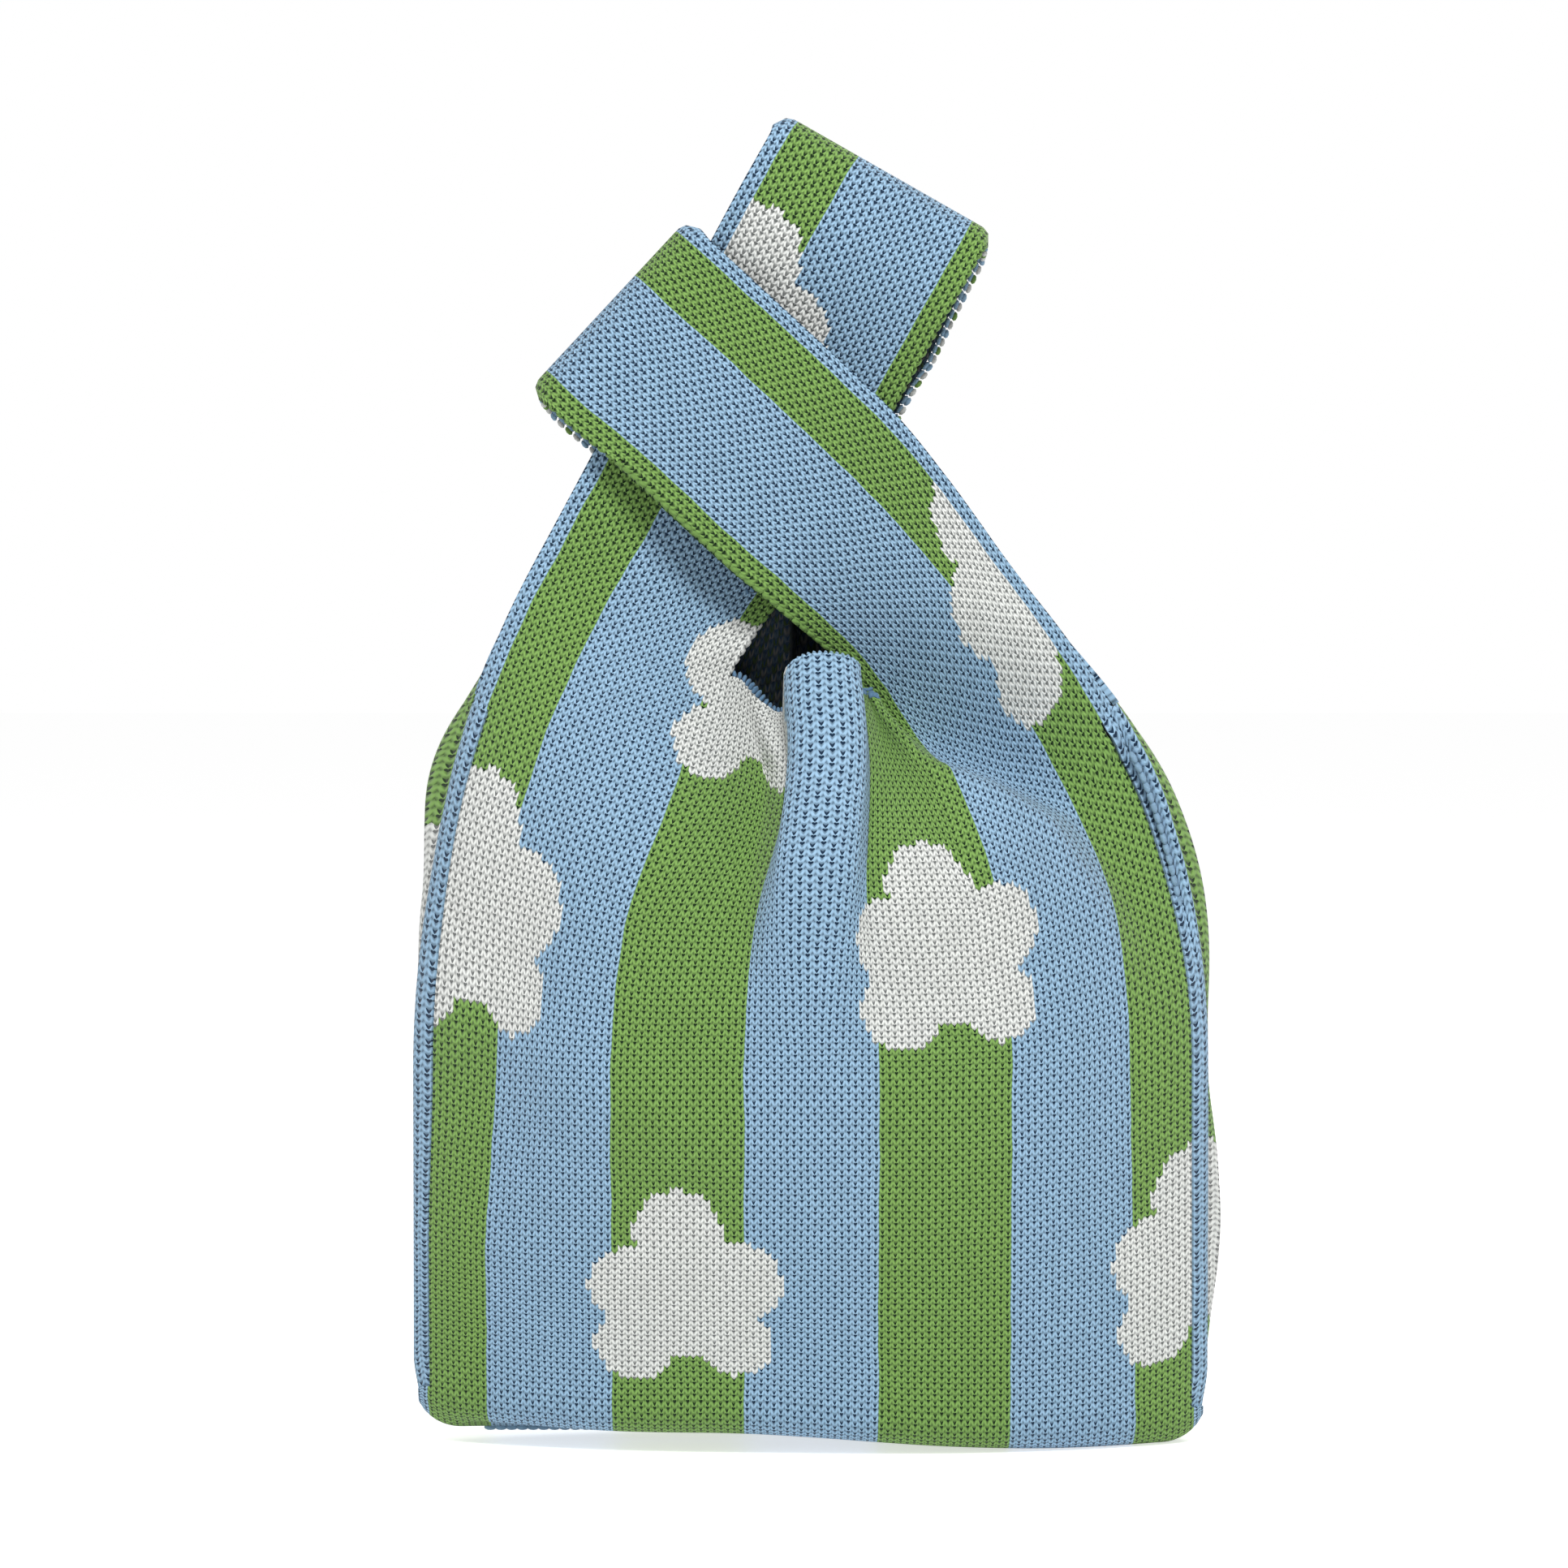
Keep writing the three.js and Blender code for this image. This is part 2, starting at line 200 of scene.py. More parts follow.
# Soft pulls of the cloth: middle in s and t, reach in s and t, and how far it moves in x, out and up.
# The first list moves both faces alike, and there out means to the back
PULLS = [
    (-0.100, 0.010, 0.070, 0.050, 0.000, 0.000, 0.0035),
    (-0.020, 0.010, 0.095, 0.050, 0.000, 0.000, 0.0038),
    (0.0465, 0.345, 0.030, 0.030, -0.001, 0.000, -0.0011),
    (-0.060, 0.255, 0.045, 0.040, 0.000, 0.007, 0.000),
]
FRONT_PULLS = [
    (-0.106, 0.010, 0.060, 0.050, 0.000, 0.000, 0.002),
    (-0.040, 0.010, 0.080, 0.050, 0.000, 0.000, 0.0015),
    (-0.040, 0.185, 0.040, 0.040, 0.004, 0.000, 0.000),
    (0.050, 0.170, 0.030, 0.045, 0.003, 0.004, 0.000),
    (-0.060, 0.120, 0.030, 0.060, 0.000, 0.002, 0.000),
    (-0.087, 0.110, 0.026, 0.060, 0.0035, 0.000, 0.000),
    (0.087, 0.110, 0.022, 0.100, -0.002, 0.000, 0.000),
    (0.076, 0.300, 0.080, 0.050, 0.000, 0.005, 0.000),
    (0.026, 0.165, 0.018, 0.055, 0.000, 0.007, 0.000),
    (-0.046, 0.236, 0.018, 0.024, -0.0026, 0.000, 0.0022),
]
BACK_PULLS = [
    (-0.030, 0.225, 0.085, 0.080, 0.000, 0.000, 0.022),
    (0.030, 0.225, 0.085, 0.080, 0.000, 0.000, 0.022),
    (-0.046, 0.300, 0.060, 0.060, 0.003, 0.000, 0.000),
    (-0.092, 0.178, 0.036, 0.036, -0.010, 0.006, 0.000),
    (-0.092, 0.150, 0.034, 0.050, -0.006, 0.004, 0.000),
    (0.094, 0.150, 0.034, 0.060, 0.0085, 0.003, 0.000),
    (0.094, 0.060, 0.034, 0.060, 0.0085, 0.003, 0.000),
    (-0.046, 0.236, 0.018, 0.024, -0.0036, 0.000, 0.000),
    (0.055, 0.215, 0.045, 0.045, 0.000, 0.006, 0.000),
    (0.076, 0.310, 0.060, 0.060, 0.000, 0.004, 0.000),
    (-0.008, 0.190, 0.055, 0.065, 0.000, -0.007, 0.000),
]
PULL_TURN = 0.005

# Creases: how far they reach to the left and to the right of their way, how much they sink for their depth,
# and the points of their way in s and t with the depth there
RIGHT_CREASE = [
    (0.046, 0.272, 0.000),
    (0.046, 0.245, 0.009),
    (0.047, 0.224, 0.018),
    (0.058, 0.206, 0.022),
    (0.0705, 0.194, 0.023),
    (0.0845, 0.176, 0.017),
    (0.0925, 0.147, 0.009),
    (0.0985, 0.122, 0.001),
]
LEFT_CREASE = [
    (-0.020, 0.125, 0.000),
    (-0.024, 0.165, 0.008),
    (-0.029, 0.200, 0.012),
    (-0.040, 0.226, 0.004),
]
LOW_RIDGE = [(-0.100, 0.118, -0.003), (-0.025, 0.084, -0.002)]
FRONT_CREASES = [
    (0.042, 0.013, 0.40, RIGHT_CREASE),
    (0.034, 0.010, 0.00, LEFT_CREASE),
    (0.020, 0.020, 0.00, LOW_RIDGE),
]


def creased(s, t, left, right, way):
    """How far a crease takes the cloth in at s, t."""
    deepest = np.zeros_like(s)
    for first, last in zip(way, way[1:]):
        step = np.subtract(last, first)
        length = math.hypot(step[0], step[1])
        along = ((s - first[0]) * step[0] + (t - first[1]) * step[1]) / length
        aside = ((t - first[1]) * step[0] - (s - first[0]) * step[1]) / length
        share = np.clip(along / length, 0, 1)
        past = (along - share * length) / right
        far = np.hypot(aside / np.where(aside > 0, left, right), past)
        depth = (first[2] + step[2] * share) * bump(far)
        deepest = np.where(np.abs(depth) > np.abs(deepest), depth, deepest)
    return deepest


def pulled(points, s, t):
    """Points moved by the creases and pulls; those of one face fade out where it turns to the other."""
    on_front = smooth(0, PULL_TURN, -points[..., 1])
    on_back = smooth(0, PULL_TURN, points[..., 1])
    for left, right, sink, way in FRONT_CREASES:
        depth = creased(s, t, left, right, way) * on_front
        points = points + depth[..., None] * np.array([0, 1, -sink])
    for pulls, share, face in ((PULLS, 1, 1), (FRONT_PULLS, on_front, -1), (BACK_PULLS, on_back, 1)):
        for s_middle, t_middle, s_reach, t_reach, sideways, out, up in pulls:
            amount = bump((s - s_middle) / s_reach) * bump((t - t_middle) / t_reach) * share
            points = points + amount[..., None] * np.array([sideways, face * out, up])
    return points


def knit_place(s, t, face):
    """The knit's middle plane at s, t on the front (face -1) or the back (face 1)."""
    x, z, fold = pleat(s, t, face)
    on_long = long_strap.place(s, t)
    on_short = short_strap.place(s, t)
    x = np.where(s <= -STRAP_INNER, on_long[..., 0], np.where(s >= STRAP_INNER, on_short[..., 0], x))
    z = np.where(s <= -STRAP_INNER, on_long[..., 1], np.where(s >= STRAP_INNER, on_short[..., 1], z))
    fold = np.where(np.abs(s) < STRAP_INNER, fold, 0)
    points = np.stack([x, face * (half_depth(s, t) + fold), z], -1)
    return pulled(points, s, t)


# Stitches: wales across and courses up. The front's wales lie closer towards the sides, where a blue edge is
# knit; the courses rise a little there, and they are drawn apart where the bag is gathered in
WALE = 0.001774
COURSE = 0.0016
CLOSER = 3.6
BACK_CLOSER = (SLIT, SLIT + 0.03)
DRAWN = (0.075, 0.205)
DRAWN_COURSES = 9
MOUTH_DRAWN = (0.185, 0.225)
MOUTH_COURSES = 3.5
MOUTH_REACH = 0.075
SIDE_RISE = 4.2
SIDE_TILT = 2.8


def courses(s, t):
    """The course at s, t, counted from the floor."""
    rise = SIDE_RISE * (s / HALF_WIDTH) ** 4 + SIDE_TILT * (s / HALF_WIDTH) ** 3
    drawn = DRAWN_COURSES * smooth(*DRAWN, t)
    at_mouth = MOUTH_COURSES * bump(s / MOUTH_REACH) * smooth(*MOUTH_DRAWN, t)
    return t / COURSE - drawn - at_mouth - rise


def stitches(s, t, face=-1):
    """Wale and course at s, t; the back has the blue edge on its straps alone."""
    closer = CLOSER if face < 0 else CLOSER * smooth(*BACK_CLOSER, t)
    return np.stack([s / WALE * (1 + closer * s * s), courses(s, t)], -1)


def cloth_object(name, columns, rows, place, stitch, keep=None, outward=True):
    """A sheet of knit on a grid of columns and rows, each from 0 to 1, with its stitches as a UV map."""
    shape = bmesh.new()
    bmesh.ops.create_grid(shape, x_segments=columns, y_segments=rows, size=1)
    for vert in shape.verts:
        vert.co.xy = (vert.co.xy + Vector((1, 1))) / 2
    if keep:
        faces = list(shape.faces)
        middles = np.array([face.calc_center_median().xy for face in faces])
        kept = keep(middles[:, 0], middles[:, 1])
        dropped = [face for face, stays in zip(faces, kept) if not stays]
        bmesh.ops.delete(shape, geom=dropped, context="FACES")
    shape.verts.index_update()
    flat = np.array([vert.co.xy for vert in shape.verts])
    for vert, point in zip(shape.verts, place(flat[:, 0], flat[:, 1])):
        vert.co = point
    counted = stitch(flat[:, 0], flat[:, 1])
    knit_map = shape.loops.layers.uv.new("knit")
    for face in shape.faces:
        face.smooth = True
        for loop in face.loops:
            loop[knit_map].uv = counted[loop.vert.index]
    for edge in shape.edges:
        edge.smooth = not edge.is_boundary
    if not outward:
        bmesh.ops.reverse_faces(shape, faces=shape.faces)
    mesh = bpy.data.meshes.new(name)
    shape.to_mesh(mesh)
    shape.free()
    cloth = bpy.data.objects.new(name, mesh)
    bpy.context.collection.objects.link(cloth)
    mesh.materials.append(knit_face)
    mesh.materials.append(knit_reverse)
    thick = cloth.modifiers.new("cloth", "SOLIDIFY")
    thick.thickness = CLOTH
    thick.offset = 0
    thick.material_offset = 1
    thick.material_offset_rim = 0
    return cloth


class Value:
    """A shader socket that takes part in Python arithmetic."""

    def __init__(self, tree, socket=None):
        self.tree = tree
        self.socket = socket

    def node(self, kind, settings, inputs, output=0):
        """Adds a node with its settings, then its inputs, and returns one of its outputs."""
        added = self.tree.nodes.new(kind)
        for name, value in settings.items():
            setattr(added, name, value)
        for name, value in inputs.items():
            if isinstance(value, Value):
                self.tree.links.new(value.socket, added.inputs[name])
            else:
                added.inputs[name].default_value = value
        return Value(self.tree, added.outputs[output])

    def math(self, operation, first, second=0.0):
        return self.node("ShaderNodeMath", {"operation": operation}, {0: first, 1: second})

    def __add__(self, other):
        return self.math("ADD", self, other)

    __radd__ = __add__

    def __sub__(self, other):
        return self.math("SUBTRACT", self, other)

    def __rsub__(self, other):
        return self.math("SUBTRACT", other, self)

    def __mul__(self, other):
        return self.math("MULTIPLY", self, other)

    __rmul__ = __mul__

    def __truediv__(self, other):
        return self.math("DIVIDE", self, other)

    def __lt__(self, other):
        return self.math("LESS_THAN", self, other)

    def __gt__(self, other):
        return self.math("GREATER_THAN", self, other)

    def floor(self):
        return self.math("FLOOR", self)

    def size(self):
        return self.math("ABSOLUTE", self)

    def least(self, other):
        return self.math("MINIMUM", self, other)

    def most(self, other):
        return self.math("MAXIMUM", self, other)

    def cycle(self, length):
        return self.math("FLOORED_MODULO", self, length)

    def mix(self, first, second):
        """The first colour where this value is 0, the second where it is 1."""
        return self.node("ShaderNodeMix", {"data_type": "RGBA"}, {0: self, 6: first, 7: second}, output=2)

    def vector(self, operation, first, second):
        return self.node("ShaderNodeVectorMath", {"operation": operation}, {0: first, 1: second})

    def scaled(self, colour, amount):
        return self.node("ShaderNodeVectorMath", {"operation": "SCALE"}, {0: colour, "Scale": amount})


def new_material(name, roughness=0.9):
    """A dull material with a little sheen, its shader, and a start for its nodes."""
    material = bpy.data.materials.new(name)
    material.use_nodes = True
    shader = material.node_tree.nodes["Principled BSDF"]
    shader.inputs["Roughness"].default_value = roughness
    shader.inputs["Specular IOR Level"].default_value = 0.2
    shader.inputs["Sheen Weight"].default_value = 0.12
    return material, shader, Value(material.node_tree)


# Knit pattern: the colours of the yarns, the painted shade in the gaps between stitches, and the places
# of stripes, blue edges and clouds in wales and courses
BLUE = (0.285, 0.450, 0.612, 1)
GREEN = (0.190, 0.345, 0.085, 1)
WHITE = (0.700, 0.715, 0.690, 1)
# Painted shade: these dark colours fill the gaps between stitches in place of the shade inside them
BLUE_GAP_SHADE = (0.005, 0.022, 0.052, 1)
GREEN_GAP_SHADE = (0.004, 0.020, 0.002, 1)
WHITE_GAP_SHADE = (0.150, 0.158, 0.155, 1)
STRIPE = 20
BAND_START = 60
BAND_WALES = 2.6
CLOUD_COLUMNS = 40
CLOUD_MIDDLE = CLOUD_COLUMNS / 2 + 0.3
CLOUD_COURSES = 101
CLOUD_DROP = 57
LEFT_CLOUD_SHIFT = 4
FIRST_CLOUD = 26.4
CLOUD_PUFFS = [
    (-0.8, 9.4, 6.6),
    (-8.2, 1.0, 6.2),
    (8.2, 1.2, 6.8),
    (-7.2, -9.4, 6.2),
    (8.0, -9.2, 5.6),
    (0.0, 0.0, 10.6),
    (0.0, -2.2, 9.4),
]
MOUTH_CLOUD_COURSE = 90
MOUTH_CLOUD_PUFFS = [
    (-8.6, 3.8, 7.2),
    (8.2, 1.2, 6.8),
    (-7.2, -9.4, 6.2),
    (8.0, -9.2, 5.6),
    (0.0, 0.0, 10.6),
]
LOW_CLOUD_COURSE = 0
TOP_CLOUD_COURSE = 155

# One stitch: how far it wanders from its place, the slant of its legs, how far the gaps between and beside
# the legs reach across and up, and how open they are on one stitch and how much more on the next.
# From the strap course on, over some courses, the gaps between the legs open further.
# A shade is its least value and what the yarn's height or chance adds to it. What the height adds is
# painted light: a highlight on each yarn's crest and shade at its sides. The reverse's low least value is
# painted shade, as dark as the bag's inside.
WANDER = (0.5, 0.7, 0.0)
WANDER_SCALE = 0.13
LEG_SLANT = 0.55
INNER_GAP = (0.56, 0.46)
OUTER_GAP = (0.40, 0.36)
INNER_OPEN = (0.6, 3.4)
OUTER_OPEN = (0.7, -0.3)
STRAP_COURSE = 125
STRAP_COURSES = 20
STRAP_GAP = 0.2
YARN_ROUND = 0.5
GAP_DEPTH = 0.8
FACE_CREST_HIGHLIGHT = (0.84, 0.21)
FACE_CHANCE = (0.94, 0.12)
REVERSE_PAINTED_SHADE = (0.05, 0.06)
REVERSE_CHANCE = (0.8, 0.4)
FUZZ_SHADE = (0.45, 0.5)
FUZZ_SCALE = 900.0


def opening(leg, join, reach):
    """1 in the middle of a gap, falling to 0 at its reach."""
    across = leg / reach[0]
    up = join / reach[1]
    return 1 - across * across - up * up


def knit_nodes(nodes):
    """Each stitch's wale and course, how far its yarn stands up, how open its gap is, and a chance value."""
    flat = nodes.node("ShaderNodeUVMap", {"uv_map": "knit"}, {})
    noise = {"Vector": flat, "Scale": WANDER_SCALE, "Detail": 1.0}
    wander = nodes.node("ShaderNodeTexNoise", {}, noise, output="Color")
    moved = nodes.vector("MULTIPLY", nodes.vector("SUBTRACT", wander, (0.5, 0.5, 0.5)), WANDER)
    place = nodes.vector("ADD", flat, moved)
    across = nodes.node("ShaderNodeSeparateXYZ", {}, {0: place}, output="X")
    up = nodes.node("ShaderNodeSeparateXYZ", {}, {0: place}, output="Y")
    wale = across.floor()
    leg = (across - wale - 0.5).size() * 2
    slanted = up - leg * LEG_SLANT
    course = slanted.floor()
    rise = slanted - course
    join = rise.least(1 - rise)
    other = (wale + course).cycle(2)
    on_strap = ((course - STRAP_COURSE) / STRAP_COURSES).most(0).least(1)
    inner_gap = opening(leg, join, INNER_GAP) + STRAP_GAP * on_strap
    outer_gap = opening(1 - leg, join, OUTER_GAP)
    inner_open = inner_gap * risen(other, *INNER_OPEN)
    outer_open = outer_gap * risen(other, *OUTER_OPEN)
    gap = inner_open.most(outer_open).most(0).least(1)
    swell = rise * (1 - rise) * 4
    middle = leg * 2 - 1
    yarn = swell * (1 - middle * middle * YARN_ROUND)
    spot = nodes.node("ShaderNodeCombineXYZ", {}, {0: wale, 1: course})
    chance = nodes.node("ShaderNodeTexWhiteNoise", {"noise_dimensions": "2D"}, {"Vector": spot})
    return wale, course, yarn, gap, chance


def puffed(nodes, spot, puffs):
    """How far a stitch lies outside a cloud's puffs."""
    nearest = None
    for x, y, radius in puffs:
        ring = nodes.node(
            "ShaderNodeVectorMath", {"operation": "DISTANCE"}, {0: spot, 1: (x, y, 0)}, output="Value"
        )
        nearest = ring - radius if nearest is None else nearest.least(ring - radius)
    return nearest


def cloud_mask(nodes, wale, course):
    """1 on the stitches of the clouds, which stand on the green stripes in a half-drop repeat; the mouth
    takes the top off the one beside it."""
    column = (wale / CLOUD_COLUMNS).floor()
    across = wale - column * CLOUD_COLUMNS - CLOUD_MIDDLE - LEFT_CLOUD_SHIFT * (column < -1)
    beside_mouth = (1 - (column + 1).size()).most(0) * (course > MOUTH_CLOUD_COURSE)
    half_drop = (1 - column.cycle(2)) * CLOUD_DROP
    up = (course - half_drop - FIRST_CLOUD + CLOUD_COURSES / 2).cycle(CLOUD_COURSES) - CLOUD_COURSES / 2
    spot = nodes.node("ShaderNodeCombineXYZ", {}, {0: across, 1: up * (COURSE / WALE)})
    whole = puffed(nodes, spot, CLOUD_PUFFS)
    nearest = whole + beside_mouth * (puffed(nodes, spot, MOUTH_CLOUD_PUFFS) - whole)
    below_mouth = ((column + 0.5).size() > 1).most(course < TOP_CLOUD_COURSE)
    return (nearest < 0) * below_mouth * (course > LOW_CLOUD_COURSE)


def finish_knit(material, shader, nodes, colour, yarn, gap):
    """A knit material with its colour and the relief of its stitches."""
    bumps = {"Strength": 0.6, "Distance": 0.0005, "Height": yarn - gap * GAP_DEPTH}
    relief = nodes.node("ShaderNodeBump", {}, bumps, output="Normal")
    nodes.tree.links.new(colour.socket, shader.inputs["Base Color"])
    nodes.tree.links.new(relief.socket, shader.inputs["Normal"])
    return material


def face_material():
    """The outer face, with its stripes, blue edges and clouds."""
    material, shader, nodes = new_material("knit face")
    wale, course, yarn, gap, chance = knit_nodes(nodes)
    green = ((wale + STRIPE / 2) / STRIPE).floor().cycle(2)
    in_panel = ((wale + 0.5).size() - BAND_START - BAND_WALES / 2).size() > BAND_WALES / 2
    green = green * in_panel
    white = cloud_mask(nodes, wale, course) * in_panel
    tone = white.mix(green.mix(BLUE, GREEN), WHITE)
    # Painted shade: the gaps between stitches take the dark gap colour of the yarn around them
    dark = white.mix(green.mix(BLUE_GAP_SHADE, GREEN_GAP_SHADE), WHITE_GAP_SHADE)
    # Painted light: each yarn lighter on its crest and darker at its sides; the chance part is the stitches'
    # own random tone
    lit = nodes.scaled(tone, risen(yarn, *FACE_CREST_HIGHLIGHT) * risen(chance, *FACE_CHANCE))
    return finish_knit(material, shader, nodes, gap.mix(lit, dark), yarn, gap)


def reverse_material():
    """The inner face, with all three yarns in turn, in painted shade as dark as the shade in the mouth."""
    material, shader, nodes = new_material("knit reverse")
    wale, course, yarn, gap, chance = knit_nodes(nodes)
    turn = (wale + course * 2).cycle(3)
    tone = (turn > 1.5).mix((turn > 0.5).mix(BLUE, GREEN), WHITE)
    # Painted shade: the inner face is darkened to the shade inside the bag, with a painted highlight on each
    # yarn's crest; its gaps take the painted blue gap shade
    lit = nodes.scaled(tone, risen(yarn, *REVERSE_PAINTED_SHADE) * risen(chance, *REVERSE_CHANCE))
    return finish_knit(material, shader, nodes, gap.mix(lit, BLUE_GAP_SHADE), yarn, gap)


knit_face = face_material()
knit_reverse = reverse_material()


def yarn_material(name, colour):
    """Fuzzy yarn of one colour."""
    material, shader, nodes = new_material(name)
    where = nodes.node("ShaderNodeTexCoord", {}, {}, output="Object")
    fuzz = nodes.node("ShaderNodeTexNoise", {}, {"Vector": where, "Scale": FUZZ_SCALE, "Detail": 2.0})
    bumps = {"Strength": 0.5, "Distance": 0.0004, "Height": fuzz}
    relief = nodes.node("ShaderNodeBump", {}, bumps, output="Normal")
    tone = nodes.scaled(colour[:3], risen(fuzz, *FUZZ_SHADE))
    nodes.tree.links.new(tone.socket, shader.inputs["Base Color"])
    nodes.tree.links.new(relief.socket, shader.inputs["Normal"])
    return material


blue_yarn = yarn_material("blue yarn", BLUE)
green_yarn = yarn_material("green yarn", GREEN)
white_yarn = yarn_material("white yarn", WHITE)
LOOK_AHEAD = 0.0005


def yarn_chain(name, rows, materials):
    """Loops of yarn laid along rows. A row is its points, the outward normals, the pitch of the loops, their
    half sizes along, across and out, their slant, and the places of the materials that they take in turn."""
    shape = bmesh.new()
    for points, normals, pitch, size, slant, turn in rows:
        steps = np.linalg.norm(np.diff(points, axis=0), axis=1)
        walked = np.concatenate([[0], np.cumsum(steps)])
        count = max(1, round(walked[-1] / pitch))
        for number in range(count):
            at = walked[-1] * (number + 0.5) / count
            ahead = Vector([np.interp(at + LOOK_AHEAD, walked, points[:, k]) for k in range(3)])
            behind = Vector([np.interp(at - LOOK_AHEAD, walked, points[:, k]) for k in range(3)])
            out = Vector([np.interp(at, walked, normals[:, k]) for k in range(3)]).normalized()
            along = (ahead - behind).normalized()
            across = out.cross(along).normalized()
            out = along.cross(across)
            turned = Matrix((along, across, out)).transposed() @ Matrix.Rotation(slant, 3, "Z")
            middle = Matrix.Translation((ahead + behind) / 2)
            loop_matrix = middle @ turned.to_4x4() @ Matrix.Diagonal((*size, 1))
            made = bmesh.ops.create_uvsphere(shape, u_segments=8, v_segments=6, radius=1, matrix=loop_matrix)
            for face in {face for vert in made["verts"] for face in vert.link_faces}:
                face.smooth = True
                face.material_index = turn[number % len(turn)]
    mesh = bpy.data.meshes.new(name)
    shape.to_mesh(mesh)
    shape.free()
    for material in materials:
        mesh.materials.append(material)
    chain = bpy.data.objects.new(name, mesh)
    bpy.context.collection.objects.link(chain)
    return chain


PANEL_TOP = LONG_CUT
panel_columns = round(2 * HALF_WIDTH / GRID)
panel_rows = round((PANEL_TOP - BASE_TURN) / GRID)


def panel_flat(column, row):
    """The place s, t on a panel's grid."""
    return (2 * column - 1) * HALF_WIDTH, BASE_TURN + (PANEL_TOP - BASE_TURN) * row


def panel_keep(column, row):
    """The panel up to the mouth and the slits, with the long strap above it and the short strap's root."""
    s, t = panel_flat(column, row)
    on_long = s < -STRAP_INNER
    on_short = (s > STRAP_INNER) & (short_strap.place(s, t)[..., 1] < SHORT_CUT)
    inside = np.abs(s) < PANEL_EDGE
    return (on_long | on_short | (t < MOUTH)) & (inside | (t > SLIT)) & ((s < STRAP_INNER) | on_short)


def knit_panel(name, face):
    """One face of the bag with its layer of the long strap."""

    def place(column, row):
        return knit_place(*panel_flat(column, row), face)

    def stitch(column, row):
        return stitches(*panel_flat(column, row), face)

    return cloth_object(name, panel_columns, panel_rows, place, stitch, panel_keep, outward=face < 0)


# Scalloped edges of the straps beside the mouth, in rows of edge stitches
EDGE_PITCH = 0.0028
EDGE_LOOP = (0.00150, 0.0008, 0.0010)
EDGE_BEAD = (0.00135, 0.0008, 0.0008)
EDGE_SLANT = 0.2
EDGE_OVERLAP = 0.0002
BEAD_STEP = 0.0010
EDGE_STEPS = 80
FINE_STEPS = 400
EDGE_INSIDE = 0.002
EDGE_YARNS = [blue_yarn, green_yarn, white_yarn]
WHITE_EDGE = 0.242
PANEL_EDGE_SHOWN = 0.0004


def edge_row(points, inside, beyond, size, turn):
    """A chain's row along an edge, lying some way beyond it: the edge's points and points just inside it."""
    outwards = points - inside
    outwards /= np.linalg.norm(outwards, axis=1)[:, None]
    normals = np.cross(np.gradient(points, axis=0), outwards)
    return points + outwards * beyond, normals, EDGE_PITCH, size, EDGE_SLANT, turn


def edge_rows(points, inside, face, shown, turn=(1,)):
    """One row of edge stitches on a front layer, two on a back layer, which stand out as far as shown."""
    if face < 0:
        return [edge_row(points, inside, -EDGE_OVERLAP, EDGE_LOOP, turn)]
    return [
        edge_row(points, inside, shown, EDGE_LOOP, (0,)),
        edge_row(points, inside, shown + BEAD_STEP, EDGE_BEAD, (2, 1, 2, 0)),
    ]


def panel_edges(name, face):
    """The edge stitches of a panel's two straps, from the mouth to where the loops begin."""
    short_heights = np.linspace(MOUTH, LONG_CUT, FINE_STEPS)
    short_line = knit_place(np.full_like(short_heights, STRAP_INNER), short_heights, face)
    short_end = short_heights[short_line[:, 2] < SHORT_CUT].max()
    rows = []
    spans = [(-1, MOUTH, WHITE_EDGE, 2), (-1, WHITE_EDGE, LONG_CUT, 1), (1, MOUTH, short_end, 1)]
    for side, low, high, yarn in spans:
        heights = np.linspace(low, high, EDGE_STEPS)
        points = knit_place(np.full(EDGE_STEPS, side * STRAP_INNER), heights, face)
        inside = knit_place(np.full(EDGE_STEPS, side * (STRAP_INNER + EDGE_INSIDE)), heights, face)
        rows += edge_rows(points, inside, face, PANEL_EDGE_SHOWN, (yarn,))
    edges = yarn_chain(name, rows, EDGE_YARNS)
    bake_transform(edges)
    return edges


front = knit_panel("front_knit", -1)
front_edges = panel_edges("front_strap_edges", -1)
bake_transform(front)
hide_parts("front_panel", "long_strap_front")

# Back panel with the long strap's back layer
# The same knit as the front, linked to it at the side bands; it bulges out past the bands.
back = knit_panel("back_knit", 1)
back_edges = panel_edges("back_strap_edges", 1)
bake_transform(back)
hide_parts("back_panel", "long_strap_back")

# Side bands
# The blue edge wales that turn from the front to the back of the bag, up to the slits.
# They are knit with the panels and linked on the inside.
BAND_ANGLE = math.acos(PANEL_EDGE / HALF_WIDTH)
BAND_FOOT = 0.007
BAND_TUCK = 0.0016
BAND_COLUMNS = 10
BAND_SHIFT = 0.2


